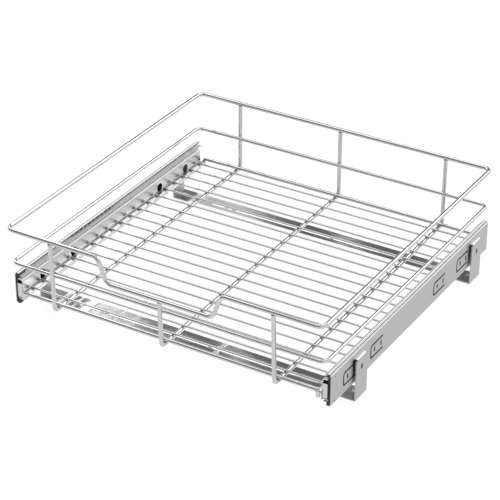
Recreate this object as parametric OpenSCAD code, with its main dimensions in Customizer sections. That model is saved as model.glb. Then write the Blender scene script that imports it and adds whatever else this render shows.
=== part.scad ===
// Pull-out cabinet basket. A welded wire basket rides on two full-extension
// ball-bearing slides, and the slides stand on a base frame of two cross rails
// and four brackets that is screwed to the floor of a cabinet.
// Millimetres. X to the right, Y to the back, Z up. The origin is on the cabinet
// floor, below the middle of the basket. Each slide's section is drawn for the left
// side, with X counted inwards from the slide's outer face, and mirrored for the right.

/* [Slides] */
// Distance between the outer faces of the two slides
slide_span = 480.8; // [380:0.2:600]
// Length of a closed slide
slide_l = 450; // [420:1:600]
// Height of a slide
slide_h = 46; // [42:0.5:52]
// Thickness of a slide
slide_w = 12.7; // [12.3:0.1:14]
// Sheet thickness of the outer rail, which is fixed to the brackets
outer_t = 1.2; // [1:0.1:1.4]
// Sheet thickness of the middle rail
middle_t = 1.2; // [1:0.1:1.4]
// Sheet thickness of the drawer rail, which carries the basket
drawer_t = 1.2; // [1:0.1:1.4]
// Gap between the webs of the outer and the middle rail, where the outer cage runs
web_gap = 1; // [0.95:0.05:1.3]
// Outside bend radius of the outer rail
outer_bend_r = 2.6; // [2.4:0.1:3.2]
// Distance of the crease beside a ball track from the outer rail's outer face
crease_x = 2.1; // [1.8:0.1:2.4]
// Width of the crease
crease_w = 0.9; // [0.6:0.1:1]
// Outside bend radius of the middle rail
middle_bend_r = 1.7; // [1.6:0.05:1.75]
// Outside bend radius of the drawer rail
drawer_bend_r = 3.3; // [2:0.1:3.4]
// How far the outer rail's flanges stop short of the slide's inner face
outer_lip_setback = 5.7; // [5:0.1:5.8]
// How far the middle rail's flanges stop short of the slide's inner face
middle_lip_setback = 1.5; // [1.3:0.1:2]
// Gap from the middle rail's web to the back edges of the drawer rail's flanges
drawer_lip_gap = 1.4; // [1.2:0.1:1.6]
// How far the middle rail's ends lie inside the closed slide
middle_end_gap = 1; // [0.8:0.1:3]
// How far the drawer rail's rear end lies inside the closed slide
drawer_end_gap = 7; // [4:0.5:20]

/* [Ball bearings] */
// Diameter of the balls between the outer and the middle rail
outer_ball_d = 3.6; // [3.4:0.05:3.7]
// Diameter of the balls between the middle and the drawer rail
inner_ball_d = 3.2; // [3:0.05:3.4]
// Depth of the rolled ball tracks
track_depth = 0.4; // [0.2:0.05:0.5]
// Clearance between a ball and its tracks
ball_clear = 0.05; // [0.02:0.01:0.08]
// Distance of the outer ball rows from the middle rail's web
outer_row_inset = 2.9; // [2.9:0.05:3.1]
// Distance of the inner ball rows from the slide's inner face
inner_row_inset = 4; // [3.8:0.1:4.2]
// Number of balls in one row
balls_per_row = 10; // [4:1:11]
// Distance between neighbouring balls
ball_pitch = 10; // [8:0.5:10]
// Sheet thickness of the ball cages
cage_t = 0.6; // [0.5:0.05:0.65]
// Clearance between a ball and its pocket in the cage
pocket_clear = 0.15; // [0.1:0.05:0.25]
// Bend radius of the ball cages
cage_bend_r = 1.2; // [0.8:0.1:1.4]
// Middle of the closed outer cages, from the slide's front end
outer_cage_mid = 174; // [172:1:200]
// Middle of the closed inner cages, from the slide's front end
inner_cage_mid = 222; // [215:1:240]

/* [Outer rail cut-outs] */
// Length of a lanced tongue in the outer rail's web
tongue_l = 33.6; // [20:0.2:36]
// Height of a lanced tongue
tongue_h = 19.5; // [14:0.5:24]
// Height of a tongue's lower edge above the slide's underside
tongue_z = 12; // [8:0.5:14]
// Front edges of the two front tongues, from the slide's front end
front_tongue_y = [31, 103]; // [10:0.5:190]
// Front edges of the two rear tongues, from the slide's rear end
rear_tongue_y = [168, 97.5]; // [45:0.5:200]
// Width of the cut that frees a tongue
lance_w = 1.6; // [1:0.1:2.2]
// Chamfer at a tongue's upper front corner
tongue_chamfer = 2.6; // [1:0.1:4]
// Distance of a tongue's two slots from its front edge
slot_offset = [11, 28.5]; // [6:0.5:32]
// Length of a slot
slot_l = 6; // [4:0.5:8]
// Width of a slot
slot_w = 2; // [1.4:0.1:2.6]
// Distance of the stop dimples from the ends of the outer rail
stop_end = [9.6, 3.5]; // [3:0.1:15]
// Height of the stop dimples below and above the edges of the outer rail
stop_inset = [6.5, 4]; // [3.5:0.5:12]
// Diameter of a stop dimple
stop_d = 3; // [2.4:0.1:3]
// Height by which a stop dimple is pressed into the slide
stop_depth = 0.5; // [0.3:0.05:0.6]

/* [Drawer rail] */
// Diameter of the access holes in the drawer rail
access_d = 13; // [8:0.5:14]
// Height of the access holes above the slide's underside
access_z = 24.7; // [22:0.1:26]
// Access holes from the drawer rail's front end
front_access_y = [45, 116]; // [20:0.5:200]
// Access holes from the slide's rear end
rear_access_y = [118, 49]; // [20:0.5:200]
// Height of the front tab
tab_h = 21; // [14:0.5:22]
// Height of the front tab's lower edge above the slide's underside
tab_z = 11; // [10:0.5:13]
// Corner radius of the front tab
tab_corner_r = 4; // [2:0.5:6]
// Outside bend radius of the front tab
tab_bend_r = 1.6; // [1.4:0.1:2.4]
// Length of the moulded bumper on the middle rail's front end
bumper_l = 13; // [8:0.5:20]
// How far the bumper stands in front of the middle rail
bumper_nose = 0.5; // [0.3:0.1:0.8]
// Gap between the bumper and the rails that it passes
bumper_clear = 0.3; // [0.2:0.05:0.4]

/* [Basket support] */
// Sheet thickness of the support channels
channel_t = 1.5; // [1:0.1:2]
// Width of the shelf that carries the wires
channel_w = 8; // [7:0.1:12]
// Height of the shelf above the slide's underside
shelf_z = 18.8; // [17:0.1:22]
// Height of the channel's welded leg
channel_leg = 12.3; // [8:0.1:13]
// Height of the channel's free lip
channel_lip = 3.8; // [3.8:0.1:6]
// How far the support channels run past the drawer rails' rear ends
channel_over = 1.5; // [0:0.1:3]
// Outside bend radius over the welded leg
leg_bend_r = 3.5; // [2.2:0.1:3.6]
// Outside bend radius over the free lip
lip_bend_r = 2.2; // [2.1:0.1:3]

/* [Basket] */
// How far the rim stands in front of the slides
front_overhang = 19; // [18:0.5:40]
// How far the rim stands behind the slides
rear_overhang = 12.3; // [12:0.1:30]
// How far the rim lies inside the slides' outer faces
rim_inset = 1.7; // [0:0.1:10]
// Height of the rim's top above the slide's underside
rim_z = 124.7; // [100:0.1:250]
// Diameter of the rim wire
rim_d = 6; // [5:0.1:8]
// Depth of the dip in the front of the rim
dip_depth = 35.5; // [20:0.5:45]
// Width of the dip at the rim's height
dip_top_w = 185; // [120:1:260]
// Width of the dip at its bottom
dip_bottom_w = 159; // [80:1:160]
// Bend radius of the dip
dip_r = 12; // [8:0.5:14]
// Corner radius of the rim and the middle ring, at the middle of the wire
corner_r = 10; // [8:0.5:30]
// How far the middle ring lies inside the slides' outer faces
ring_inset = 2.1; // [1:0.1:12]
// Height of the middle ring above the slide's underside
ring_z = 67.6; // [50:0.1:75]
// Diameter of the middle ring wire
ring_d = 5; // [3:0.1:6]
// Diameter of the long wires and their uprights
long_d = 6; // [4:0.1:7]
// How far the two outer long wires lie inside the slides' outer faces
long_inset = 73.5; // [50:0.5:110]
// Bend radius of the long wires
long_r = 8; // [7:0.5:12]
// How far the front uprights lean out from bottom to top
front_lean = 3.3; // [0:0.1:6]
// How far the rear uprights lean out from bottom to top
rear_lean = 1.3; // [0:0.1:4]
// Diameter of the front and rear bottom wires
edge_d = 5.5; // [4:0.1:6]
// Gap between the front bottom wire's middle and the slide's front end
front_edge_y = 3.6; // [3.2:0.1:6]
// Bend radius at the ends of the bottom wires
edge_r = 5; // [4:0.5:7]
// Height of the tips of the bottom wires above the slide's underside
edge_tip_z = 12; // [10:0.5:14]
// Number of cross wires
cross_n = 19; // [4:1:30]
// Diameter of the cross wires
cross_d = 3; // [2:0.1:4]
// Distance of the first cross wire from the slide's front end
cross_front = 15; // [8:0.1:20]
// Distance of the last cross wire from the slide's rear end
cross_rear = 18; // [8:0.1:30]
// Gap between a cross wire's end and the drawer rail
cross_end_gap = 2.4; // [1:0.1:4]

/* [Base frame] */
// Height of the slides above the cross rails
slide_gap = 25; // [12:0.5:60]
// Sheet thickness of the brackets
bracket_t = 1.8; // [1.5:0.1:3]
// Width of a bracket
bracket_w = 29; // [26:0.5:40]
// Distance of a bracket's rear edge in front of the cross rail's
bracket_inset = 2.4; // [0:0.1:4]
// Gap between a bracket's plate and the slide
bracket_gap = 2.4; // [1:0.1:3]
// Height of a bracket's top lip above the slide's underside
lip_z = 37; // [32:0.5:40]
// Width of the top lip
lip_w = 22.5; // [16:0.5:26]
// Inside bend radius of a bracket
bracket_bend_r = 0.8; // [0.5:0.1:2]
// Length of a bracket's foot
foot_l = 26; // [20:0.5:36]
// Length of the weld boss pressed into a bracket
boss_l = 8; // [5:0.5:12]
// Width of the weld boss
boss_w = 5; // [2:0.1:6]
// Height of the weld boss's middle above the slide's underside
boss_z = 21; // [14:0.5:26]
// Width of a cross rail
rail_w = 27; // [24:0.1:32]
// Sheet thickness of a cross rail
rail_t = 1.2; // [1:0.1:1.6]
// Height of the bead along a cross rail
bead_h = 1.2; // [0.6:0.1:1.5]
// Width of the bead
bead_w = 9; // [7:0.5:11]
// Distance of a bead's end from the rail's end
bead_end = 26; // [22:1:40]
// Middle of the front cross rail behind the slide's front end
front_rail_y = 75.5; // [60:0.5:110]
// Middle of the rear cross rail in front of the slide's rear end
rear_rail_y = 40; // [30:0.5:80]
// Distance of a screw hole from the end of the cross rail
screw_end = 50; // [36:0.5:80]
// Diameter of a screw hole
screw_d = 5.2; // [4:0.1:6]
// Diameter of the flat pad round a screw hole
pad_d = 11; // [9:0.5:13]
// Diameter of a rivet's shank
rivet_d = 5; // [4:0.1:6]
// Diameter of a rivet's flat head and of its flush tail
rivet_head_d = 7; // [6.2:0.1:8]
// Height of a rivet's head
rivet_head_h = 0.8; // [0.5:0.1:1.2]
// Distance of a rivet from the end of the cross rail
rivet_end = 9; // [5.5:0.5:12]

/* [Hidden] */
$fn = 32;
left = -1;
right = 1;
over = 1;           // how far a cutting shape runs past the sheet that it cuts
rivet_clear = 0.05; // clearance of a rivet in its hole
pocket_wall = 0.7;  // least metal beside a ball's pocket
wire_sides = 16;    // faces round a bent wire
bend_step = 15;     // largest turn between two rings of a bend, in degrees

// Where the slides lie in the part's own frame
slide_z = rail_t + slide_gap;
slide_front = (front_overhang - slide_l - rear_overhang) / 2;

// The slide's section: X inwards from the outer face, Y up from the underside
middle_web_x = outer_t + web_gap;
drawer_lip_x = middle_web_x + middle_t + drawer_lip_gap;
outer_row_x = middle_web_x + outer_row_inset;
inner_row_x = slide_w - inner_row_inset;
outer_ball_r = outer_ball_d / 2;
inner_ball_r = inner_ball_d / 2;
outer_row_z = slide_h - outer_t + track_depth - ball_clear - outer_ball_r;
middle_top = outer_row_z - outer_ball_r - ball_clear + track_depth;
inner_row_z = middle_top - middle_t + track_depth - ball_clear - inner_ball_r;
drawer_top = inner_row_z - inner_ball_r - ball_clear + track_depth;
cage_gap = (web_gap - cage_t) / 2;
outer_cage_x = outer_t + cage_gap;
inner_cage_x = middle_web_x + middle_t + cage_gap;
cage_l = balls_per_row * ball_pitch;

// The basket's wires, with Y back from the slide's front end and Z up from its underside
cross_z = shelf_z + cross_d / 2;
long_z = shelf_z - long_d / 2;
edge_z = shelf_z + edge_d / 2;
rim_mid_z = rim_z - rim_d / 2;
rim_x = slide_span / 2 - rim_inset - rim_d / 2;
rim_y = [-front_overhang + rim_d / 2, slide_l + rear_overhang - rim_d / 2];
foot_y = [rim_y[0] + front_lean, rim_y[1] - rear_lean];
ring_x = slide_span / 2 - ring_inset - ring_d / 2;
channel_y = [edge_d / 2 - front_edge_y, slide_l - drawer_end_gap + channel_over];
edge_y = [-front_edge_y, channel_y[1] + edge_d / 2];
drawer_face_x = slide_span / 2 - slide_w;
edge_x = drawer_face_x - channel_w / 2;
long_x = slide_span / 2 - long_inset;

// The base frame
plate_x = slide_span / 2 + bracket_gap;
rail_end_x = plate_x - bracket_bend_r;
rail_ys = [front_rail_y, slide_l - rear_rail_y];
rivet_x = rail_end_x - rivet_end;
screw_x = rail_end_x - screw_end;

// ---------- flat shapes ----------

// The waste at a lower left corner when it is rounded to radius r
module corner_waste(r) {
    difference() {
        translate([-over, -over]) square(r + over);
        translate([r, r]) circle(r);
    }
}

// A rectangle with its lower left, lower right, upper right and upper left radii
module rounded(w, h, radii) {
    difference() {
        square([w, h]);
        if (radii[0] > 0) corner_waste(radii[0]);
        if (radii[1] > 0) translate([w, 0]) mirror([1, 0]) corner_waste(radii[1]);
        if (radii[2] > 0) translate([w, h]) rotate(180) corner_waste(radii[2]);
        if (radii[3] > 0) translate([0, h]) mirror([0, 1]) corner_waste(radii[3]);
    }
}

// A rolled C section, open to the right, with outside bend radius r
module c_section(depth, height, t, r) {
    difference() {
        rounded(depth, height, [r, 0, 0, r]);
        translate([t, t]) rounded(depth, height - 2 * t, [r - t, 0, 0, r - t]);
    }
}

// A slot with round ends, upright and centred
module upright_slot(length, w) {
    square([w, length - w], center = true);
    for (end = [-1, 1]) translate([0, end * (length - w) / 2]) circle(w / 2);
}

// ---------- placing ----------

// The slide's own frame on one side of the part
module on_side(side) {
    mirror([side > 0 ? 1 : 0, 0, 0])
        translate([-slide_span / 2, slide_front, slide_z]) children();
}

// The basket's frame: X from the middle, Y from the slides' front ends
module in_basket() {
    translate([0, slide_front, slide_z]) children();
}

// Draws a flat section in X and Z and runs it from one Y to another
module run_back(from, to) {
    translate([0, to, 0]) rotate([90, 0, 0]) linear_extrude(to - from) children();
}

// Cuts or raises a flat shape, drawn in Y and Z, from one X to another
module through_web(from, to) {
    translate([from, 0, 0]) rotate([90, 0, 90]) linear_extrude(to - from) children();
}

// ---------- bent wire ----------

function unit(v) = v / norm(v);

// Turns n, which is square to direction a, the way that a turns into b
function carry(n, a, b) = n - (a + b) * (n * b) / (1 + a * b);

// Places and directions along the bend at p from direction a to direction b
function bend(p, a, b, r) =
    let (angle = acos(a * b), steps = ceil(angle / bend_step), inner = unit(b - a * cos(angle)),
         centre = p - a * r * tan(angle / 2) + inner * r)
    [for (i = [0:steps]) let (t = angle * i / steps)
        [centre - inner * r * cos(t) + a * r * sin(t), a * cos(t) + inner * sin(t)]];

// Places and directions along a wire that is bent at its inner points, or at all if closed
function wire_path(points, radii, closed) =
    let (n = len(points), dir = [for (i = [0:n - 1]) unit(points[(i + 1) % n] - points[i])])
    [for (i = [0:n - 1], place = closed || (i > 0 && i < n - 1)
        ? bend(points[i], dir[(i + n - 1) % n], dir[i], radii[i])
        : [[points[i], dir[max(i - 1, 0)]]]) place];

// A round wire swept along its corner points, with one bend radius for each point
module bent_wire(points, radii, d, closed = false) {
    path = wire_path(points, radii, closed);
    count = len(path);
    upright = abs(path[0][1][2]) > 0.9;
    normals = [for (i = 0, n = unit(cross(path[0][1], upright ? [0, 1, 0] : [0, 0, 1])); i < count;
        n = i < count - 1 ? carry(n, path[i][1], path[i + 1][1]) : n, i = i + 1) n];
    corners = [for (i = [0:count - 1], k = [0:wire_sides - 1])
        let (t = 360 * k / wire_sides, side = cross(path[i][1], normals[i]))
        path[i][0] + (normals[i] * cos(t) + side * sin(t)) * d / 2];
    skin = [for (i = [0:count - (closed ? 1 : 2)], k = [0:wire_sides - 1])
        let (a = i * wire_sides, b = (i + 1) % count * wire_sides, next = (k + 1) % wire_sides)
        each [[a + k, b + next, a + next], [a + k, b + k, b + next]]];
    ends = closed ? [] : [
        [for (k = [0:wire_sides - 1]) k],
        [for (k = [1:wire_sides]) count * wire_sides - k]];
    polyhedron(points = corners, faces = concat(skin, ends), convexity = 6);
}

// ---------- slides ----------

// The outline that frees a tongue, closed towards the front and open at the back
module tongue_cut() {
    module outline(inset) {
        reach = tongue_l + (inset > 0 ? over : 0);
        polygon([
            [inset, inset], [reach, inset], [reach, tongue_h - inset],
            [inset + tongue_chamfer, tongue_h - inset], [inset, tongue_h - inset - tongue_chamfer]
        ]);
    }
    difference() {
        outline(0);
        outline(lance_w);
    }
}

module outer_rail(side) {
    tongues = concat(front_tongue_y, [for (y = rear_tongue_y) slide_l - y]);
    stops = [[stop_end[0], slide_h - stop_inset[0]], [stop_end[0], stop_inset[1]],
        [slide_l - stop_end[1], slide_h - stop_inset[0]], [slide_l - stop_end[1], stop_inset[1]]];
    color("gainsboro") on_side(side) difference() {
        union() {
            run_back(0, slide_l) difference() {
                c_section(slide_w - outer_lip_setback, slide_h, outer_t, outer_bend_r);
                for (z = [outer_row_z, slide_h - outer_row_z])
                    translate([outer_row_x, z]) circle(outer_ball_r + ball_clear);
                for (z = [0, slide_h]) translate([crease_x, z]) circle(crease_w / 2);
            }
            for (s = stops) translate([outer_t / 2, s[0], s[1]]) rotate([0, 90, 0])
                cylinder(h = outer_t / 2 + stop_depth, d = stop_d);
        }
        for (s = stops) translate([-over, s[0], s[1]]) rotate([0, 90, 0])
            cylinder(h = over + stop_depth, d = stop_d - 2 * stop_depth);
        for (y = tongues) through_web(-over, outer_t + over) translate([y, tongue_z]) {
            tongue_cut();
            for (offset = slot_offset) translate([offset, tongue_h / 2]) upright_slot(slot_l, slot_w);
        }
    }
}

module middle_rail(side) {
    color("silver") on_side(side)
        run_back(middle_end_gap, slide_l - middle_end_gap) difference() {
            translate([middle_web_x, slide_h - middle_top])
                c_section(slide_w - middle_lip_setback - middle_web_x, 2 * middle_top - slide_h,
                          middle_t, middle_bend_r);
            for (z = [outer_row_z, slide_h - outer_row_z])
                translate([outer_row_x, z]) circle(outer_ball_r + ball_clear);
            for (z = [inner_row_z, slide_h - inner_row_z])
                translate([inner_row_x, z]) circle(inner_ball_r + ball_clear);
        }
}

module drawer_rail(side) {
    holes = concat(front_access_y, [for (y = rear_access_y) slide_l - y]);
    color("gainsboro") on_side(side) {
        difference() {
            run_back(0, slide_l - drawer_end_gap) difference() {
                translate([slide_w, slide_h - drawer_top]) mirror([1, 0])
                    c_section(slide_w - drawer_lip_x, 2 * drawer_top - slide_h,
                              drawer_t, drawer_bend_r);
                for (z = [inner_row_z, slide_h - inner_row_z])
                    translate([inner_row_x, z]) circle(inner_ball_r + ball_clear);
            }
            for (y = holes) translate([slide_w - drawer_t - over, y, access_z]) rotate([0, 90, 0])
                cylinder(h = drawer_t + 2 * over, d = access_d);
        }
        front_tab();
    }
}

// The drawer rail's web runs forwards and is bent outwards into a tab
module front_tab() {
    reach = slide_w - drawer_lip_x;
    root = tab_bend_r + over;
    intersection() {
        translate([drawer_lip_x, -drawer_t, tab_z]) linear_extrude(tab_h) difference() {
            rounded(reach, root, [0, tab_bend_r, 0, 0]);
            translate([-over, drawer_t])
                rounded(reach - drawer_t + over, root, [0, tab_bend_r - drawer_t, 0, 0]);
        }
        translate([drawer_lip_x, 0, tab_z]) run_back(-drawer_t - over, root)
            rounded(reach, tab_h, [0, tab_corner_r, 0, 0]);
    }
}

// A black moulding that closes the middle rail's front end; its two arms fill the outer
// ball tracks
module bumper(side) {
    arm_z = middle_top;
    arm_h = slide_h - outer_t - bumper_clear - middle_top;
    arm_x = middle_web_x + middle_bend_r;
    arm_w = slide_w - outer_lip_setback - bumper_clear - arm_x;
    face_x = outer_t + bumper_clear;
    face_w = drawer_lip_x - bumper_clear - face_x;
    face_r = outer_bend_r - outer_t - bumper_clear;
    front = middle_end_gap - bumper_nose;
    color("#202020") on_side(side) {
        run_back(front, middle_end_gap) {
            translate([face_x, slide_h - arm_z - arm_h])
                rounded(face_w, 2 * (arm_z + arm_h) - slide_h, [face_r, 0, 0, face_r]);
            translate([arm_x, arm_z]) square([arm_w, arm_h]);
            translate([arm_x, slide_h - arm_z - arm_h]) square([arm_w, arm_h]);
        }
        run_back(middle_end_gap, middle_end_gap + bumper_l) {
            translate([arm_x, arm_z]) square([arm_w, arm_h]);
            translate([arm_x, slide_h - arm_z - arm_h]) square([arm_w, arm_h]);
        }
    }
}

// Places of the balls along one row, about the row's middle
function ball_ys(middle) = [for (i = [0:balls_per_row - 1])
    middle + (i - (balls_per_row - 1) / 2) * ball_pitch];

module ball_cage(side, x, row_x, row_z, ball_r, middle) {
    depth = row_x + ball_r + pocket_clear + pocket_wall - x;
    top = row_z + cage_t / 2;
    color("darkgray") on_side(side) difference() {
        run_back(middle - cage_l / 2, middle + cage_l / 2)
            translate([x, slide_h - top])
                c_section(depth, 2 * top - slide_h, cage_t, cage_bend_r);
        for (y = ball_ys(middle), z = [row_z, slide_h - row_z])
            translate([row_x, y, z - cage_t]) cylinder(h = 2 * cage_t, r = ball_r + pocket_clear);
    }
}

module ball_rows(side, row_x, row_z, ball_r, middle) {
    color("slategray") on_side(side)
        for (y = ball_ys(middle), z = [row_z, slide_h - row_z])
            translate([row_x, y, z]) sphere(r = ball_r);
}

module outer_cage(side) {
    ball_cage(side, outer_cage_x, outer_row_x, outer_row_z, outer_ball_r, outer_cage_mid);
}

module inner_cage(side) {
    ball_cage(side, inner_cage_x, inner_row_x, inner_row_z, inner_ball_r, inner_cage_mid);
}

module outer_balls(side) {
    ball_rows(side, outer_row_x, outer_row_z, outer_ball_r, outer_cage_mid);
}

module inner_balls(side) {
    ball_rows(side, inner_row_x, inner_row_z, inner_ball_r, inner_cage_mid);
}

// ---------- basket ----------

// A folded strip welded to the drawer rail; its top is the shelf that the wires lie on
module support_channel(side) {
    color("gainsboro") on_side(side)
        run_back(channel_y[0], channel_y[1])
            translate([slide_w, shelf_z - channel_leg]) difference() {
                rounded(channel_w, channel_leg, [0, 0, lip_bend_r, leg_bend_r]);
                translate([channel_t, -over])
                    rounded(channel_w - 2 * channel_t, channel_leg - channel_t + over,
                            [0, 0, lip_bend_r - channel_t, leg_bend_r - channel_t]);
                translate([channel_w / 2, -over])
                    square([channel_w, channel_leg - channel_lip + over]);
            }
}

module cross_wires() {
    reach = drawer_face_x - cross_end_gap;
    pitch = (slide_l - cross_front - cross_rear) / (cross_n - 1);
    color("whitesmoke") in_basket() for (i = [0:cross_n - 1])
        translate([-reach, cross_front + i * pitch, cross_z]) rotate([0, 90, 0])
            cylinder(h = 2 * reach, d = cross_d);
}

// A bottom wire lies on the long wires and its ends are bent down onto the channels' ends
module bottom_wire(y) {
    color("whitesmoke") in_basket()
        bent_wire([[-edge_x, y, edge_tip_z], [-edge_x, y, edge_z],
                   [edge_x, y, edge_z], [edge_x, y, edge_tip_z]],
                  [0, edge_r, edge_r, 0], edge_d);
}

// A long wire runs under the cross wires and turns up at both ends to butt under the rim;
// butt is the height of the rim wire's middle over the front upright
module long_wire(x, butt) {
    lean = front_lean * (butt - long_z) / (rim_mid_z - long_z);
    color("whitesmoke") in_basket()
        bent_wire([[x, foot_y[0] - lean, butt - rim_d / 2], [x, foot_y[0], long_z],
                   [x, foot_y[1], long_z], [x, rim_y[1], rim_mid_z - rim_d / 2]],
                  [0, long_r, long_r, 0], long_d);
}

// The middle ring runs round the inside of the uprights
module middle_ring_wire() {
    touch = (long_d + ring_d) / 2;
    rise = (ring_z - long_z) / (rim_mid_z - long_z);
    front = foot_y[0] - front_lean * rise + touch;
    back = foot_y[1] + rear_lean * rise - touch;
    color("whitesmoke") in_basket()
        bent_wire([[-ring_x, front, ring_z], [ring_x, front, ring_z],
                   [ring_x, back, ring_z], [-ring_x, back, ring_z]],
                  [for (i = [1:4]) corner_r], ring_d, closed = true);
}

// The rim is one closed wire with a dip in the middle of its front
module rim_wire() {
    low = rim_mid_z - dip_depth;
    color("whitesmoke") in_basket()
        bent_wire([[-rim_x, rim_y[0], rim_mid_z],
                   [-dip_top_w / 2, rim_y[0], rim_mid_z], [-dip_bottom_w / 2, rim_y[0], low],
                   [dip_bottom_w / 2, rim_y[0], low], [dip_top_w / 2, rim_y[0], rim_mid_z],
                   [rim_x, rim_y[0], rim_mid_z],
                   [rim_x, rim_y[1], rim_mid_z], [-rim_x, rim_y[1], rim_mid_z]],
                  [corner_r, dip_r, dip_r, dip_r, dip_r, corner_r, corner_r, corner_r],
                  rim_d, closed = true);
}

// ---------- base frame ----------

// A strip with a bead along its middle; the bead is flattened to a pad round each screw hole
module cross_rail(y) {
    bead_x = rail_end_x - bead_end;
    color("silver") translate([0, slide_front + y, 0]) difference() {
        union() {
            translate([-rail_end_x, -rail_w / 2, 0]) cube([2 * rail_end_x, rail_w, rail_t]);
            difference() {
                translate([-bead_x, 0, 0]) bead(bead_w, bead_h + rail_t, 2 * bead_x);
                for (side = [left, right]) translate([side * screw_x, 0, rail_t])
                    cylinder(h = bead_h + over, d = pad_d);
            }
        }
        difference() {
            translate([rail_t - bead_x, 0, 0])
                bead(bead_w - 2 * rail_t, bead_h, 2 * (bead_x - rail_t));
            for (side = [left, right]) translate([side * screw_x, 0, -over])
                cylinder(h = bead_h + 2 * over, d = pad_d + 2 * rail_t);
        }
        for (side = [left, right]) {
            translate([side * screw_x, 0, -over])
                cylinder(h = rail_t + 2 * over, d = screw_d);
            translate([side * rivet_x, 0, 0]) rivet_shank(rail_t + over, rivet_clear, over);
        }
    }
}

// A straight bead along X, w wide at its foot and h high, with slanted sides
module bead(w, h, length) {
    slant = h / 2;
    rotate([90, 0, 90]) linear_extrude(length)
        polygon([[-w / 2, 0], [w / 2, 0], [w / 2 - slant, h], [slant - w / 2, h]]);
}

// A bracket is one folded strip: foot on the cross rail, plate beside the slide and a lip
// at the top that meets the slide's face.
module bracket(side, y) {
    reach = bracket_gap + bracket_t;
    outer_x = slide_span / 2 + reach;
    rail_to_rear = rail_w / 2 - bracket_inset;
    height = slide_gap + lip_z;
    outer_r = bracket_bend_r + bracket_t;
    lip_side = (bracket_w - lip_w) / 2;
    boss_at = [0, bracket_w / 2, slide_gap + boss_z];
    color("silver") mirror([side > 0 ? 1 : 0, 0, 0])
        translate([-outer_x, slide_front + y + rail_to_rear - bracket_w, rail_t]) {
            difference() {
                run_back(0, bracket_w) difference() {
                    rounded(foot_l, height, [outer_r, 0, 0, outer_r]);
                    translate([bracket_t, bracket_t])
                        rounded(foot_l, height - 2 * bracket_t,
                                [bracket_bend_r, 0, 0, bracket_bend_r]);
                    translate([reach, height / 2]) square([foot_l, height]);
                }
                for (end = [-over, bracket_w - lip_side])
                    translate([-over, end, height - outer_r])
                        cube([foot_l, lip_side + over, outer_r + over]);
                translate(boss_at) through_web(-over, bracket_gap) upright_slot(boss_l, boss_w);
                translate([outer_x - rivet_x, bracket_w - rail_to_rear, -over])
                    cylinder(h = bracket_t + 2 * over, d = rivet_d + 2 * rivet_clear);
            }
            translate(boss_at) difference() {
                through_web(bracket_t / 2, reach)
                    upright_slot(boss_l + bracket_t, boss_w + bracket_t);
                through_web(-over, bracket_gap) upright_slot(boss_l, boss_w);
            }
        }
}

// A rivet's shank with its tail, which fills a countersink in the rail's underside;
// as a hole it is grown by clear and runs on below the rail
module rivet_shank(length, clear, below) {
    sink = (rivet_head_d - rivet_d) / 2;
    cylinder(h = length, d = rivet_d + 2 * clear);
    translate([0, 0, -below]) cylinder(h = sink + below, d1 = rivet_head_d + 2 * (clear + below),
                                       d2 = rivet_d + 2 * clear);
}

// Flat-headed rivets, set flush under the cross rails, hold the brackets' feet on them
module frame_rivets() {
    foot_top = rail_t + bracket_t;
    color("dimgray") for (side = [left, right], y = rail_ys)
        translate([side * rivet_x, slide_front + y, 0]) {
            rivet_shank(foot_top, 0, 0);
            translate([0, 0, foot_top])
                cylinder(h = rivet_head_h, d1 = rivet_head_d, d2 = rivet_head_d - rivet_head_h);
        }
}

outer_rail(left);  // left_outer_rail
outer_rail(right);  // right_outer_rail
cross_rail(rail_ys[0]);  // front_cross_rail
cross_rail(rail_ys[1]);  // rear_cross_rail
bracket(left, rail_ys[0]);  // front_left_bracket
bracket(right, rail_ys[0]);  // front_right_bracket
bracket(left, rail_ys[1]);  // rear_left_bracket
bracket(right, rail_ys[1]);  // rear_right_bracket
frame_rivets();
middle_rail(left);  // left_middle_rail
middle_rail(right);  // right_middle_rail
bumper(left);  // left_bumper
bumper(right);  // right_bumper
outer_cage(left);  // left_outer_cage
outer_cage(right);  // right_outer_cage
outer_balls(left);  // left_outer_balls
outer_balls(right);  // right_outer_balls
inner_cage(left);  // left_inner_cage
inner_cage(right);  // right_inner_cage
inner_balls(left);  // left_inner_balls
inner_balls(right);  // right_inner_balls
drawer_rail(left);  // left_drawer_rail
drawer_rail(right);  // right_drawer_rail
support_channel(left);  // left_support_channel
support_channel(right);  // right_support_channel
cross_wires();
bottom_wire(edge_y[0]);  // front_bottom_wire
bottom_wire(edge_y[1]);  // rear_bottom_wire
long_wire(-long_x, rim_mid_z);  // left_long_wire
long_wire(0, rim_mid_z - dip_depth);  // centre_long_wire
long_wire(long_x, rim_mid_z);  // right_long_wire
middle_ring_wire();
rim_wire();
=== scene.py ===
# A pull-out cabinet basket: a plated wire basket on two ball-bearing slides, which stand on a
# screw-down frame of two cross rails and four brackets. Metres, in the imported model's frame:
# X to the right, Y to the back of the cabinet, Z up. The basket pulls out along -Y.
import math

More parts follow.
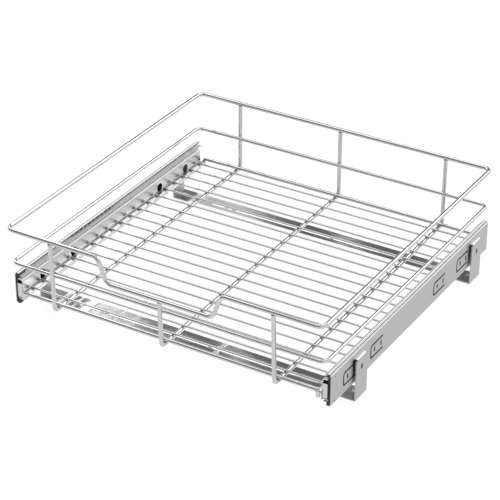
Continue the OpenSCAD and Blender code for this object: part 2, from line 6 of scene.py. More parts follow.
import bpy
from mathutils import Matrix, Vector


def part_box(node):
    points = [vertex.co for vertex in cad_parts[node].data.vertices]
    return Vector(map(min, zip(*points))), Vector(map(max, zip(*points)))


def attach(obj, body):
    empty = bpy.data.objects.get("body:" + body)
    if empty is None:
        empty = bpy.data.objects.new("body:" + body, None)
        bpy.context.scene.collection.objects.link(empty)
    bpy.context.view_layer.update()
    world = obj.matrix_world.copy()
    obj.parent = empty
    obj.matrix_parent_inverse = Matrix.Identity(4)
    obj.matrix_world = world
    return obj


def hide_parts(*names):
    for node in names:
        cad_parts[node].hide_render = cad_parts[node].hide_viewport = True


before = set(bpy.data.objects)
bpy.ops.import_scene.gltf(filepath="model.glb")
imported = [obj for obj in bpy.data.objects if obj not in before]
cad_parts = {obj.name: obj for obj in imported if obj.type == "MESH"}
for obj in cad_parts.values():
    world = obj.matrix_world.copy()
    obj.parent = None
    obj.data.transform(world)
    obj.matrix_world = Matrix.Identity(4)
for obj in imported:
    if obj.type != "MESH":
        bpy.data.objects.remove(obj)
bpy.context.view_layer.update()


# ---------- cross rails ----------
# Two strips of bright plated steel with a bead pressed along the middle. They lie across the
# cabinet floor and are screwed to it through a hole in a flat pad near each end.

class Plug:
    """An output in a node tree. Arithmetic on it adds Math nodes, and node() adds any other."""

    def __init__(self, tree, output=None):
        self.tree, self.output = tree, output

    def node(self, kind, settings, inputs, output=0):
        made = self.tree.nodes.new(kind)
        for name, value in settings.items():
            if name == "stops":
                ramp = made.color_ramp.elements
                while len(ramp) < len(value):
                    ramp.new(1.0)
                for stop, (place, grey) in zip(ramp, value):
                    stop.position, stop.color = place, (grey, grey, grey, 1.0)
            else:
                setattr(made, name, value)
        for name, value in inputs.items():
            if isinstance(value, Plug):
                self.tree.links.new(value.output, made.inputs[name])
            else:
                made.inputs[name].default_value = value
        return Plug(self.tree, made.outputs[output] if len(made.outputs) else None)

    def math(self, operation, a, b=0.0):
        return self.node("ShaderNodeMath", {"operation": operation}, {0: a, 1: b})

    def __add__(self, other):
        return self.math("ADD", self, other)

    def __radd__(self, other):
        return self.math("ADD", other, self)

    def __sub__(self, other):
        return self.math("SUBTRACT", self, other)

    def __rsub__(self, other):
        return self.math("SUBTRACT", other, self)

    def __mul__(self, other):
        return self.math("MULTIPLY", self, other)

    def __rmul__(self, other):
        return self.math("MULTIPLY", other, self)

    def __truediv__(self, other):
        return self.math("DIVIDE", self, other)

    def __lt__(self, other):
        return self.math("LESS_THAN", self, other)

    def __gt__(self, other):
        return self.math("GREATER_THAN", self, other)


def new_finish(name, colour, metallic, roughness):
    """A material, its shader node and the place on the piece."""
    material = bpy.data.materials.new(name)
    material.use_nodes = True
    surface = material.node_tree.nodes["Principled BSDF"]
    surface.inputs["Base Color"].default_value = (*colour, 1.0)
    surface.inputs["Metallic"].default_value = metallic
    surface.inputs["Roughness"].default_value = roughness
    place = Plug(material.node_tree).node("ShaderNodeTexCoord", {}, {}, "Object")
    return material, surface, place


def axes(vector):
    """The X, Y and Z of a vector as three plugs."""
    split = vector.node("ShaderNodeSeparateXYZ", {}, {0: vector}).output.node
    return [Plug(vector.tree, output) for output in split.outputs]


def noise(place, per_metre, detail=2.0, rough=0.5):
    """Noise from 0 to 1 with its own number of waves per metre along X, Y and Z."""
    stretched = place.node("ShaderNodeMapping", {}, {"Vector": place, "Scale": per_metre})
    return place.node(
        "ShaderNodeTexNoise", {},
        {"Vector": stretched, "Scale": 1.0, "Detail": detail, "Roughness": rough})


def feed(surface, socket, plug):
    """Links a plug to one of the shader's sockets."""
    plug.tree.links.new(plug.output, surface.inputs[socket])


def tint(share, low, high):
    """A colour that goes from low to high, each a colour or a plug, as share goes from 0 to 1."""
    ends = [c if isinstance(c, Plug) else (*c, 1.0) for c in (low, high)]
    return share.node("ShaderNodeMix", {"data_type": "RGBA"}, {0: share, 6: ends[0], 7: ends[1]}, 2)


def relief(surface, height, depth):
    """Raises the surface by height, from 0 to 1, times depth in metres."""
    bump = height.node(
        "ShaderNodeBump", {}, {"Height": height, "Strength": 1.0, "Distance": depth})
    feed(surface, "Normal", bump)


def cover(nodes, material):
    """Gives CAD nodes their material."""
    for name in nodes:
        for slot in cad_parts[name].material_slots:
            slot.material = material


mirror_plate, surface, place = new_finish("mirror_plate", (0.91, 0.915, 0.92), 1.0, 0.1)
waves = noise(place, (26.0, 90.0, 60.0), 2.0, 0.45)
scuffs = noise(place, (30.0, 1400.0, 1400.0), 2.0, 0.6)
smudge = noise(place, (38.0, 60.0, 40.0), 3.0, 0.6)
feed(surface, "Roughness", 0.05 + scuffs * 0.02 + smudge * 0.03)
feed(surface, "Base Color", tint(smudge, (0.86, 0.865, 0.875), (0.94, 0.945, 0.95)))
relief(surface, waves + scuffs * 0.004, 0.00013)
cover(["front_cross_rail", "rear_cross_rail"], mirror_plate)


# ---------- brackets ----------
# Each is one folded blank of zinc plated steel: a foot on the cross rail, a plate beside the
# slide with a boss pressed in for its spot weld, and a lip at the top that meets the slide.

# The lip is matt, and painted pale as a highlight on its upward face; the foot is smooth
# from the press, and painted dark as the shade under the slide
lip_z, foot_z = 0.0616, 0.0035
zinc_press, surface, place = new_finish("zinc_press", (0.48, 0.485, 0.49), 1.0, 0.42)
cloud = noise(place, (90.0, 90.0, 90.0), 4.0, 0.55)
grain = noise(place, (2600.0, 2600.0, 2600.0), 2.0, 0.5)
drag = noise(place, (500.0, 500.0, 35.0), 2.0, 0.5)
up = axes(place)[2]
lip, foot = up > lip_z, up < foot_z
plate = tint(cloud, (0.45, 0.455, 0.462), (0.51, 0.515, 0.52))
# The lip's pale colour is a painted highlight, and the foot's dark colour is painted shade
plate_and_lip_highlight = tint(lip, plate, (0.92, 0.92, 0.92))
feed(surface, "Base Color", tint(foot, plate_and_lip_highlight, (0.3, 0.3, 0.3)))
feed(surface, "Roughness", 0.36 + cloud * 0.1 + drag * 0.04 + lip * 0.2 - foot * 0.2)
relief(surface, grain * 0.5 + drag * 0.5, 0.00002)
cover(["front_left_bracket", "front_right_bracket", "rear_left_bracket", "rear_right_bracket"],
      zinc_press)


# ---------- rivets ----------
# A flat-headed steel rivet holds each bracket's foot on its cross rail. It is hammered flush
# below, so that the rail lies flat on the cabinet floor.

rivet_steel, surface, place = new_finish("rivet_steel", (0.5, 0.5, 0.505), 1.0, 0.35)
hammered = noise(place, (900.0, 900.0, 900.0), 3.0, 0.6)
feed(surface, "Roughness", 0.28 + hammered * 0.16)
relief(surface, hammered, 0.00004)
cover(["frame_rivets"], rivet_steel)


# ---------- slides ----------
# Three nested C sections of cold rolled zinc plated strip on each side. Rolling leaves fine
# lines along them, and the bends at their tops are painted lighter as a highlight. The outer
# rail has lanced tongues, slots and pressed stops, whose walls are painted dark as shade, and
# shade is painted black between the rails and at their ends.

slide_low, slide_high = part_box("left_outer_rail")
slide_face, slide_mid = -slide_low.x, (slide_low.z + slide_high.z) / 2
slide_half = (slide_high.z - slide_low.z) / 2
slide_centre, slide_reach = (slide_low.y + slide_high.y) / 2, (slide_high.y - slide_low.y) / 2
# Black for painted shade in the slides, and for the dark weld seams of the channels
shade_and_seam_black = (0.035, 0.034, 0.032)


def within(value, middle, reach, soft=0.0001):
    """1 where value lies within reach of the middle, with a soft edge."""
    off = value.math("ABSOLUTE", value - middle)
    return value.node("ShaderNodeMapRange", {"interpolation_type": "SMOOTHSTEP"}, {
        "Value": off, "From Min": reach - soft, "From Max": reach + soft, "To Min": 1.0,
        "To Max": 0.0})


def rolled_zinc(name, top, light, dark, top_highlight, roughness, marks):
    """Zinc plated strip with rolling lines along Y, matt over the bends at its top, which is a
    height over the slide's middle; the bends' colour is a painted highlight. marks turns the
    depth behind the slide's outer face, the place along Y, the distance from the slide's middle
    height and the height itself into a share of black, which is painted shade, or a dark seam."""
    bend_start, bend_end = top - 0.0026, top - 0.0014
    material, surface, place = new_finish(name, light, 1.0, roughness)
    lines = noise(place, (1500.0, 5.0, 1500.0), 3.0, 0.65)
    bands = noise(place, (160.0, 2.5, 160.0), 2.0, 0.5)
    cloud = noise(place, (60.0, 40.0, 60.0), 3.0, 0.55)
    across, along, up = axes(place)
    depth = slide_face - place.math("ABSOLUTE", across)
    height = place.math("ABSOLUTE", up - slide_mid)
    bend = place.node("ShaderNodeMapRange", {"interpolation_type": "SMOOTHSTEP"}, {
        "Value": height, "From Min": bend_start, "From Max": bend_end})
    # The bends get a painted highlight, and the marks paint black shade, or a dark seam, over the
    # plate
    plate = tint(bend, tint(bands * 0.6 + cloud * 0.4, dark, light), top_highlight)
    feed(surface, "Base Color", tint(marks(depth, along, height, up), plate, shade_and_seam_black))
    feed(surface, "Roughness", (roughness - 0.08) + lines * 0.1 + cloud * 0.06 + bend * 0.22)
    feed(surface, "Metallic", 1.0 - bend * 0.7)
    relief(surface, lines * 0.7 + bands * 0.3, 0.00002)
    return material


tongue_starts, tongue_length, tongue_half = (0.031, 0.103, 0.282, 0.3525), 0.0336, 0.00975
tongue_drop, tongue_corner, tongue_lead, lance = 0.00125, 0.0026, 0.004, 0.0016
slot_places, slot_half_width, slot_half_length, slot_shade_margin = (0.011, 0.0285), 0.001, 0.003, 0.0006


def tongue_slit_shade(along, up):
    """Painted shade: dark round the lanced slit of each tongue and round its two slots."""
    past = along - (slide_low.y + tongue_starts[0])
    for last, start in zip(tongue_starts, tongue_starts[1:]):
        past = past - (along > slide_low.y + start - tongue_lead) * (start - last)
    off = up.math("ABSOLUTE", up - (slide_mid - tongue_drop))
    side = off - tongue_half
    corner = (side - past + tongue_corner) * math.sqrt(0.5)
    out = past.math("MAXIMUM", past.math("MAXIMUM", past * -1.0, side), corner)
    slit = within(out, -lance / 2, lance / 2 + 0.0005) * (past < tongue_length)
    slots = [past.math("MAXIMUM", past.math("ABSOLUTE", past - middle) - slot_half_width,
                       off - slot_half_length)
             for middle in slot_places]
    return past.math("MAXIMUM", slit, past.math("MINIMUM", *slots) < slot_shade_margin)


sheet, outer_creases = 0.0012, ((0.0021, 0.0005), (0.0067, 0.0004))


def outer_rail_shade(depth, along, height, up):
    """Painted shade: black in the creases beside the ball tracks, at the flanges' ends, and on
    the walls of every cut-out and pressed recess."""
    near_crease, far_crease = [within(depth, x, reach) for x, reach in outer_creases]
    inside = within(along, slide_centre, slide_reach - 0.001)
    ends = (1.0 - within(along, slide_centre, slide_reach - 0.0002, 0.00005)) * (depth > 0.002)
    cut = within(depth, sheet / 2, sheet / 2 - 0.00006, 0.00002)
    cut = depth.math("MAXIMUM", cut * inside, (depth < sheet / 2) * tongue_slit_shade(along, up))
    return ((near_crease + far_crease) * (height > slide_half - 0.001) + ends
            + cut * (height < slide_half - 0.003))


middle_top, middle_web_x, groove_x, flange_edge_x = 0.0189, 0.0022, 0.0094, 0.0109


def middle_rail_shade(depth, along, height, up):
    """Painted shade: dark on the web that faces the outer rail, at the rail's ends, in the
    groove of each ball track and past the flanges' edges.
    """
    web = (depth < middle_web_x + 0.00005) * (height < slide_half - 0.006)
    ends = 1.0 - within(along, slide_centre, slide_reach - 0.0012, 0.00005)
    lines = within(depth, groove_x, 0.00045) + (depth > flange_edge_x)
    return web * 0.45 + ends + lines * (height > middle_top - 0.0004) * 0.8


drawer_top, drawer_edge_x, drawer_flange = 0.0152, 0.0056, 0.0105


def drawer_rail_shade(depth, along, height, up):
    """Painted shade on the flanges' edges, which run beside the inner balls."""
    return (depth < drawer_edge_x) * (height > drawer_flange) * 0.7


outer_zinc = rolled_zinc("outer_zinc", slide_half, (0.5, 0.505, 0.51), (0.455, 0.46, 0.466),
                         (0.86, 0.865, 0.87), 0.42, outer_rail_shade)
middle_zinc = rolled_zinc("middle_zinc", middle_top, (0.5, 0.505, 0.51), (0.44, 0.445, 0.45),
                          (0.95, 0.95, 0.95), 0.36, middle_rail_shade)
drawer_zinc = rolled_zinc("drawer_zinc", drawer_top, (0.62, 0.625, 0.63), (0.56, 0.565, 0.572),
                          (0.84, 0.845, 0.85), 0.26, drawer_rail_shade)
cover(["left_outer_rail", "right_outer_rail"], outer_zinc)
cover(["left_middle_rail", "right_middle_rail"], middle_zinc)
cover(["left_drawer_rail", "right_drawer_rail"], drawer_zinc)


# ---------- ball bearings ----------
# Hardened steel balls run in the tracks between the rails, each in a pocket of a thin cage.
# The cages are pressed from plain steel strip and packed with grease.

cage_strip, surface, place = new_finish("cage_strip", (0.62, 0.62, 0.63), 1.0, 0.4)
grease = noise(place, (220.0, 60.0, 220.0), 3.0, 0.6)
feed(surface, "Roughness", 0.24 + grease * 0.3)
feed(surface, "Base Color", tint(grease, (0.5, 0.49, 0.46), (0.7, 0.7, 0.7)))
relief(surface, grease, 0.00005)
ball_steel, surface, place = new_finish("ball_steel", (0.82, 0.82, 0.83), 1.0, 0.08)
film = noise(place, (700.0, 700.0, 700.0), 2.0, 0.5)
feed(surface, "Roughness", 0.05 + film * 0.12)
for side in ("left", "right"):
    for row in ("outer", "inner"):
        cover([f"{side}_{row}_cage"], cage_strip)
        cover([f"{side}_{row}_balls"], ball_steel)


# ---------- bumpers ----------
# A moulded end piece of black plastic is clipped into the front of each middle rail, and
# softens the stop when the drawer is pushed in.

black_moulding, surface, place = new_finish("black_moulding", (0.014, 0.014, 0.015), 0.0, 0.5)
spark = noise(place, (1600.0, 1600.0, 1600.0), 3.0, 0.6)
feed(surface, "Roughness", 0.4 + spark * 0.25)
relief(surface, spark, 0.00006)
cover(["left_bumper", "right_bumper"], black_moulding)


# ---------- support channels ----------
# A strip of zinc plated steel, folded and welded along each drawer rail. Its top is the shelf
# that the basket's cross wires rest on.

weld_seam_x = 0.0127


def channel_marks(depth, along, height, up):
    """The dark seam where the welded leg meets the drawer rail."""
    return within(depth, weld_seam_x, 0.00004, 0.00002)


channel_zinc = rolled_zinc("channel_zinc", slide_half, (0.7, 0.705, 0.71), (0.64, 0.645, 0.65),
                           (0.7, 0.705, 0.71), 0.3, channel_marks)
cover(["left_support_channel", "right_support_channel"], channel_zinc)


# ---------- bent wires ----------
# Drawn steel wire, bent cold and bright plated after welding: two bottom wires, three long
# wires with their uprights, the middle ring and the rim with its dip.

girth, plate_colour, plate_gloss = 0.016, (0.585, 0.59, 0.595), 0.09


def plated(name, along=None, around=None):
    """Bright plate over drawn wire, whose draw marks follow its two named attributes: the
    length along it and the share of the way around it. Without them they follow X."""
    material, surface, place = new_finish(name, plate_colour, 1.0, plate_gloss)
    if along is None:
        course = place
    else:
        length = place.node("ShaderNodeAttribute", {"attribute_name": along}, {}, "Fac")
        turn = place.node("ShaderNodeAttribute", {"attribute_name": around}, {}, "Fac")
        course = place.node("ShaderNodeCombineXYZ", {}, {"X": length, "Y": turn * girth})
    draw = noise(course, (9.0, 1800.0, 1800.0), 2.0, 0.5)
    peel = noise(place, (420.0, 420.0, 420.0), 2.0, 0.5)
    cloud = noise(place, (24.0, 24.0, 24.0), 3.0, 0.55)
    dull, bright = [tuple(c + change for c in plate_colour) for change in (-0.05, 0.01)]
    feed(surface, "Roughness", (plate_gloss - 0.04) + draw * 0.05 + cloud * 0.06)
    feed(surface, "Base Color", tint(cloud, dull, bright))
    relief(surface, draw * 0.6 + peel * 0.4, 0.000012)
    return material


def bent_path(points, radii, closed):
    """The middle line of a wire bent at its corner points, in steps of five degrees."""
    count, path = len(points), []
    for i, point in enumerate(points):
        if not closed and i in (0, count - 1):
            path.append(point)
            continue
        a = (point - points[i - 1]).normalized()
        b = (points[(i + 1) % count] - point).normalized()
        angle = a.angle(b)
        steps = max(1, math.ceil(math.degrees(angle) / 5.0))
        inner = (b - a * math.cos(angle)).normalized()
        centre = point - a * radii[i] * math.tan(angle / 2) + inner * radii[i]
        for k in range(steps + 1):
            t = angle * k / steps
            path.append(centre - inner * radii[i] * math.cos(t) + a * radii[i] * math.sin(t))
    return path


def geometry_tree(name, inputs):
    """An empty geometry tree with named inputs; returns the tree and its input plugs."""
    tree = bpy.data.node_groups.new(name, "GeometryNodeTree")
    tree.interface.new_socket("Geometry", in_out="INPUT", socket_type="NodeSocketGeometry")
    for label, kind in inputs.items():
        tree.interface.new_socket(label, in_out="INPUT", socket_type=kind)
    tree.interface.new_socket("Geometry", in_out="OUTPUT", socket_type="NodeSocketGeometry")
    made = tree.nodes.new("NodeGroupInput")
    return tree, {output.name: Plug(tree, output) for output in made.outputs if output.name}


def grown(name, mesh, tree, sizes):
    """Runs a geometry tree on a mesh and keeps the result as a plain mesh object."""
    piece = bpy.data.objects.new(name, mesh)
    bpy.context.scene.collection.objects.link(piece)
    growth = piece.modifiers.new("growth", "NODES")
    growth.node_group = tree
    for item in tree.interface.items_tree:
        if item.in_out == "INPUT" and item.name in sizes:
            growth[item.identifier] = sizes[item.name]
    seen = bpy.context.evaluated_depsgraph_get()
    result = bpy.data.meshes.new_from_object(
        piece.evaluated_get(seen), preserve_all_data_layers=True, depsgraph=seen)
    piece.modifiers.remove(growth)
    piece.data = result
    return piece


def finished(plug, material):
    """Ends a geometry tree: real geometry, smooth, in one material."""
    real = plug.node("GeometryNodeRealizeInstances", {}, {"Geometry": plug})
    smooth = plug.node("GeometryNodeSetShadeSmooth", {}, {"Geometry": real})
    painted = plug.node("GeometryNodeSetMaterial", {}, {"Geometry": smooth, "Material": material})
    plug.node("NodeGroupOutput", {}, {"Geometry": painted})


wire_sides = 28
bright_wire = plated("bright_wire", "along", "around")
wire_tree, plugs = geometry_tree(
    "drawn wire", {"Wire diameter": "NodeSocketFloat", "Sides": "NodeSocketInt"})
line = plugs["Geometry"].node("GeometryNodeMeshToCurve", {}, {"Mesh": plugs["Geometry"]})
length = line.node("GeometryNodeSplineParameter", {}, {}, "Length")
line = line.node(
    "GeometryNodeStoreNamedAttribute", {"data_type": "FLOAT", "domain": "POINT"},
    {"Geometry": line, "Name": "along", "Value": length})
section = line.node(
    "GeometryNodeCurvePrimitiveCircle", {"mode": "RADIUS"},
    {"Resolution": plugs["Sides"], "Radius": plugs["Wire diameter"] / 2})
turn = line.node("GeometryNodeSplineParameter", {}, {}, "Factor")
section = line.node(
    "GeometryNodeStoreNamedAttribute", {"data_type": "FLOAT", "domain": "POINT"},
    {"Geometry": section, "Name": "around", "Value": turn})
finished(line.node(
    "GeometryNodeCurveToMesh", {},
    {"Curve": line, "Profile Curve": section, "Fill Caps": True}), bright_wire)


def bent_wire(name, points, radii, d, closed=False):
    """One bent wire that stands for the CAD node of the same name and rides with the basket."""
    path = bent_path([Vector(p) for p in points], radii, closed)
    links = [(i, i + 1) for i in range(len(path) - 1)] + ([(len(path) - 1, 0)] if closed else [])
    mesh = bpy.data.meshes.new(name)
    mesh.from_pydata(path, links, [])
    piece = grown("plated_" + name, mesh, wire_tree, {"Wire diameter": d, "Sides": wire_sides})
    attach(piece, "basket")
    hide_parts(name)


# The two bottom wires lie on the long wires, and their ends turn down onto the channels
edge_d, edge_r = 0.0055, 0.005
for name in ("front_bottom_wire", "rear_bottom_wire"):
    low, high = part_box(name)
    x, y, z = high.x - edge_d / 2, (low.y + high.y) / 2, high.z - edge_d / 2
    bent_wire(name, [(-x, y, low.z), (-x, y, z), (x, y, z), (x, y, low.z)],
              [0, edge_r, edge_r, 0], edge_d)

# The three long wires turn up at both ends into the uprights under the rim
long_d, long_r, front_lean, rear_lean = 0.006, 0.008, 0.0033, 0.0013
rim_d = 0.006
rim_low, rim_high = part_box("rim_wire")
rim_front, rim_back = rim_low.y + rim_d / 2, rim_high.y - rim_d / 2
for name in ("left_long_wire", "centre_long_wire", "right_long_wire"):
    low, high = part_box(name)
    x, z = (low.x + high.x) / 2, low.z + long_d / 2
    full = rim_high.z - rim_d / 2 - z
    front_top = rim_low.z if name == "centre_long_wire" else rim_high.z - rim_d
    lean = front_lean * (front_top + rim_d / 2 - z) / full
    foot_front, foot_back = rim_front + front_lean, rim_back - rear_lean
    bent_wire(name, [(x, foot_front - lean, front_top), (x, foot_front, z),
                     (x, foot_back, z), (x, rim_back, rim_high.z - rim_d)],
              [0, long_r, long_r, 0], long_d)

# The middle ring runs round the inside of the uprights
ring_d, corner_r = 0.005, 0.01
low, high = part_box("middle_ring_wire")
x, z = high.x - ring_d / 2, low.z + ring_d / 2
front, back = low.y + ring_d / 2, high.y - ring_d / 2
bent_wire("middle_ring_wire", [(-x, front, z), (x, front, z), (x, back, z), (-x, back, z)],
          [corner_r] * 4, ring_d, closed=True)

# The rim closes the top and dips at the front
dip_top, dip_bottom, dip_r = 0.185, 0.159, 0.012
x, z, dip_z = rim_high.x - rim_d / 2, rim_high.z - rim_d / 2, rim_low.z + rim_d / 2
bent_wire("rim_wire",
          [(-x, rim_front, z), (-dip_top / 2, rim_front, z), (-dip_bottom / 2, rim_front, dip_z),
           (dip_bottom / 2, rim_front, dip_z), (dip_top / 2, rim_front, z), (x, rim_front, z),
           (x, rim_back, z), (-x, rim_back, z)],
          [corner_r, dip_r, dip_r, dip_r, dip_r, corner_r, corner_r, corner_r], rim_d, closed=True)


# ---------- cross wires ----------
# Nineteen straight drawn wires make the basket's floor. Their ends rest on the channels'
# shelves and each one is resistance welded to the three long wires below it.

cross_count, cross_d, cross_sides = 19, 0.003, 20
straight_wire = plated("straight_wire")
cross_tree, plugs = geometry_tree("row of cross wires", {
    "Count": "NodeSocketInt", "First place": "NodeSocketVector", "Step": "NodeSocketVector",
    "Half length": "NodeSocketFloat", "Wire diameter": "NodeSocketFloat"})
half = plugs["Half length"]
line = half.node(
    "GeometryNodeCurvePrimitiveLine", {"mode": "POINTS"},
    {"Start": half.node("ShaderNodeCombineXYZ", {}, {"X": half * -1.0}),
     "End": half.node("ShaderNodeCombineXYZ", {}, {"X": half})})
section = half.node(
    "GeometryNodeCurvePrimitiveCircle", {"mode": "RADIUS"},
    {"Resolution": cross_sides, "Radius": plugs["Wire diameter"] / 2})
single = half.node(
    "GeometryNodeCurveToMesh", {},
    {"Curve": line, "Profile Curve": section, "Fill Caps": True})
row = half.node(
    "GeometryNodeMeshLine", {"mode": "OFFSET"},
    {"Count": plugs["Count"], "Start Location": plugs["First place"], "Offset": plugs["Step"]})
finished(half.node(
    "GeometryNodeInstanceOnPoints", {}, {"Points": row, "Instance": single}), straight_wire)

low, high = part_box("cross_wires")
first = Vector((0.0, low.y + cross_d / 2, (low.z + high.z) / 2))
step = (high.y - low.y - cross_d) / (cross_count - 1)
piece = grown("plated_cross_wires", bpy.data.meshes.new("cross_wires"), cross_tree, {
    "Count": cross_count, "First place": first, "Step": Vector((0.0, step, 0.0)),
    "Half length": high.x, "Wire diameter": cross_d})
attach(piece, "basket")
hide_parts("cross_wires")


# ---------- welds ----------
# Resistance welds squeeze a small nugget of metal out wherever two wires cross or a wire meets
# a channel or the rim. They are plated with the basket and look a little duller and darker.

weld_skin, surface, place = new_finish("weld_skin", (0.3, 0.3, 0.3), 1.0, 0.4)
crust = noise(place, (1500.0, 1500.0, 1500.0), 3.0, 0.6)
feed(surface, "Base Color", tint(crust, (0.16, 0.158, 0.152), (0.42, 0.42, 0.42)))
feed(surface, "Roughness", 0.3 + crust * 0.25)
relief(surface, crust, 0.0001)
weld_tree, plugs = geometry_tree("weld nuggets", {"Nugget size": "NodeSocketVector"})
size = plugs["Nugget size"]
nugget = size.node(
    "GeometryNodeTransform", {},
    {"Geometry": size.node("GeometryNodeMeshIcoSphere", {}, {"Radius": 0.5, "Subdivisions": 3}),
     "Scale": size})
finished(size.node(
    "GeometryNodeInstanceOnPoints", {}, {"Points": plugs["Geometry"], "Instance": nugget}),
    weld_skin)

shelf_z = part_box("cross_wires")[0].z
channel_low, channel_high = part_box("right_support_channel")
shelf_x = (channel_low.x + channel_high.x) / 2
long_xs = [sum(corner.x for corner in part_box(name)) / 2
           for name in ("left_long_wire", "centre_long_wire", "right_long_wire")]
cross_ys = [first.y + step * i for i in range(cross_count)]
edge_ys = [sum(corner.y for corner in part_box(name)) / 2
           for name in ("front_bottom_wire", "rear_bottom_wire")]
ring_low, ring_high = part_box("middle_ring_wire")
ring_mid = (ring_low.z + ring_high.z) / 2
for name, spots, nugget_size in (
        ("cross_welds", [(x, y, shelf_z) for x in long_xs for y in cross_ys],
         (0.0046, 0.0038, 0.0016)),
        ("shelf_welds", [(x, y, shelf_z) for x in (-shelf_x, shelf_x) for y in cross_ys],
         (0.0044, 0.0032, 0.001)),
        ("bottom_wire_welds", [(x, y, shelf_z) for x in long_xs for y in edge_ys],
         (0.005, 0.005, 0.0018)),
        ("ring_welds", [(x, y, ring_mid) for x in long_xs for y in (ring_low.y, ring_high.y)],
         (0.0046, 0.0018, 0.0046)),
        ("rim_welds", [(x, y, rim_high.z - rim_d) for x in long_xs
                       for y in (rim_front, rim_back) if x or y > 0]
         + [(0.0, rim_front, rim_low.z)], (0.0066, 0.0046, 0.0016))):
    dots = bpy.data.meshes.new(name)
    dots.from_pydata(spots, [], [])
    piece = grown(name, dots, weld_tree, {"Nugget size": nugget_size})
    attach(piece, "basket")


# ---------- floor, light and camera ----------
# A plain pale floor in a white surround, which the plating shows as well. Dark cards stand
# where a studio has them, and soft boxes hang above, so that bright plate shows its roundness.

floor_half, floor_z = 4.0, -0.0004
floor_mesh = bpy.data.meshes.new("floor")
floor_mesh.from_pydata(
    [(x * floor_half, y * floor_half, floor_z) for x, y in ((-1, -1), (1, -1), (1, 1), (-1, 1))],
    [], [(0, 1, 2, 3)])
floor = bpy.data.objects.new("floor", floor_mesh)
bpy.context.scene.collection.objects.link(floor)
pale = bpy.data.materials.new("pale_floor")
pale.use_nodes = True
pale.node_tree.nodes.clear()
ground = Plug(pale.node_tree)


def background_ray(plug):
    """Two plugs: 1 for the rays that the camera sees, and 1 for all the rays that show the
    white background, which are seen, mirrored or let through."""
    rays = plug.node("ShaderNodeLightPath", {}, {}, "Is Camera Ray").output.node.outputs
    seen, mirrored, let_through = [
        Plug(plug.tree, rays[f"Is {kind} Ray"]) for kind in ("Camera", "Glossy", "Transmission")]
    return seen, seen + mirrored + let_through


matte = ground.node("ShaderNodeBsdfDiffuse", {}, {"Color": (0.8, 0.8, 0.8, 1.0)})
faint = ground.node("ShaderNodeBsdfDiffuse", {}, {"Color": (0.2, 0.2, 0.2, 1.0)})
white = ground.node("ShaderNodeEmission", {}, {"Color": (1.0, 1.0, 1.0, 1.0), "Strength": 0.86})
lit = ground.node("ShaderNodeAddShader", {}, {0: faint, 1: white})
mixed = ground.node("ShaderNodeMixShader", {}, {0: background_ray(ground)[1], 1: matte, 2: lit})
ground.node("ShaderNodeOutputMaterial", {}, {"Surface": mixed})
floor_mesh.materials.append(pale)

world = bpy.data.worlds.new("studio")
bpy.context.scene.world = world
world.use_nodes = True
world.node_tree.nodes.clear()
around = Plug(world.node_tree)
east, north, up = axes(around.node("ShaderNodeTexCoord", {}, {}, "Generated"))
bearing = around.math("ARCTAN2", east, north) * (180 / math.pi)
height = around.math("ARCSINE", up) * (180 / math.pi)


def card(middle, half_width, low, high, soft, grey):
    """A dark card in the surround, in degrees of bearing and height; 1 where it isn't."""
    turned = bearing.node("ShaderNodeMath", {"operation": "WRAP"},
                          {0: bearing - middle, 1: 180.0, 2: -180.0})
    sideways = bearing.math("ABSOLUTE", turned)
    upright = height.math("ABSOLUTE", height - (low + high) / 2)
    away = bearing.math("MAXIMUM", sideways - half_width, upright - (high - low) / 2)
    return bearing.node("ShaderNodeMapRange", {"interpolation_type": "SMOOTHSTEP"}, {
        "Value": away, "From Min": 0.0, "From Max": soft, "To Min": grey, "To Max": 1.0})


front_card = card(middle=-160.0, half_width=58.0, low=-2.0, high=48.0, soft=8.0, grey=0.26)
left_card = card(middle=-34.0, half_width=18.0, low=-2.0, high=40.0, soft=4.0, grey=0.2)
middle_card = card(middle=-9.0, half_width=9.0, low=8.0, high=44.0, soft=5.0, grey=0.25)

# A striped panel behind the basket, whose two rows the flat cross rails mirror
panel_left, panel_right, panel_low, panel_seam, panel_high = -38.0, -22.0, 24.0, 31.3, 37.0
panel_place = (bearing - panel_left) / (panel_right - panel_left)
upper_row = around.node("ShaderNodeValToRGB", {"stops": [
    (0.0, 1.0), (0.12, 1.0), (0.14, 0.6), (0.15, 0.9), (0.165, 0.4), (0.175, 0.7),
    (0.19, 0.3), (0.25, 0.12), (0.4, 0.12), (0.41, 0.8), (0.42, 0.8), (0.43, 0.12),
    (0.8, 0.12), (0.9, 0.3), (1.0, 1.0)]}, {"Fac": panel_place})
lower_row = around.node("ShaderNodeValToRGB", {"stops": [
    (0.0, 1.0), (0.33, 1.0), (0.35, 0.4), (0.375, 0.4), (0.39, 0.6), (0.43, 0.6),
    (0.48, 0.25), (0.52, 0.12), (0.63, 0.12), (0.64, 0.8), (0.65, 0.8), (0.66, 0.12),
    (0.8, 0.12), (0.9, 0.3), (1.0, 1.0)]}, {"Fac": panel_place})
panel = tint(height > panel_seam, lower_row, upper_row)
on_panel = ((bearing > panel_left) * (bearing < panel_right)
            * (height > panel_low) * (height < panel_high))

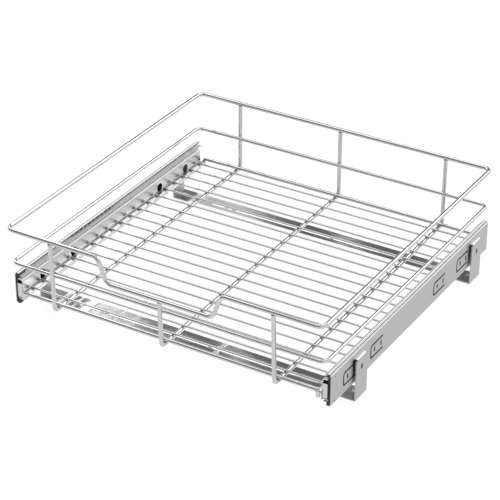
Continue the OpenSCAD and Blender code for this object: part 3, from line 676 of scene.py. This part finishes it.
# Mirror rays see the cards and the panel, the camera sees white, and other rays a plain grey
mirrored = tint(on_panel, front_card * left_card * middle_card, panel)
seen, background = background_ray(around)
sky = tint(seen, tint(background, (0.75, 0.75, 0.75), mirrored), (1.0, 1.0, 1.0))
light = around.node("ShaderNodeBackground", {}, {"Color": sky, "Strength": 1.0})
around.node("ShaderNodeOutputWorld", {}, {"Surface": light})


def soft_box(name, bearing, height, distance, width, length, power, target=Vector()):
    """An area lamp that faces a target from a bearing and a height in degrees."""
    turn, level = math.radians(bearing), math.radians(height)
    away = Vector((math.sin(turn) * math.cos(level), math.cos(turn) * math.cos(level),
                   math.sin(level)))
    lamp = bpy.data.lights.new(name, "AREA")
    lamp.shape, lamp.size, lamp.size_y, lamp.energy = "RECTANGLE", width, length, power
    box = bpy.data.objects.new(name, lamp)
    bpy.context.scene.collection.objects.link(box)
    box.location = target + away * distance
    box.rotation_mode = "QUATERNION"
    box.rotation_quaternion = away.to_track_quat("Z", "Y")


soft_box("back_box", bearing=26.0, height=38.0, distance=2.4, width=1.2, length=0.7, power=6.5)
soft_box("left_box", bearing=-18.0, height=54.0, distance=2.4, width=0.8, length=0.7, power=5.5)
soft_box("top_box", bearing=-84.0, height=62.0, distance=2.3, width=1.0, length=0.6, power=2.6)
soft_box("side_box", bearing=-55.0, height=45.0, distance=1.2, width=0.4, length=0.4, power=2.0,
         target=Vector((-0.236, 0.0, 0.07)))

aim = Vector((0.00779, -0.02719, 0.08384))
azimuth, elevation, distance = math.radians(30.91), math.radians(30.06), 2.6596
back = Vector((math.sin(azimuth) * math.cos(elevation),
               -math.cos(azimuth) * math.cos(elevation), math.sin(elevation)))
lens = bpy.data.cameras.new("camera")
lens.sensor_width, lens.lens = 36.0, 142.605
camera = bpy.data.objects.new("camera", lens)
bpy.context.scene.collection.objects.link(camera)
camera.location = aim + back * distance
camera.rotation_mode = "QUATERNION"
camera.rotation_quaternion = (-back).to_track_quat("-Z", "Y")
bpy.context.scene.camera = camera
bpy.context.scene.view_settings.view_transform = "Standard"
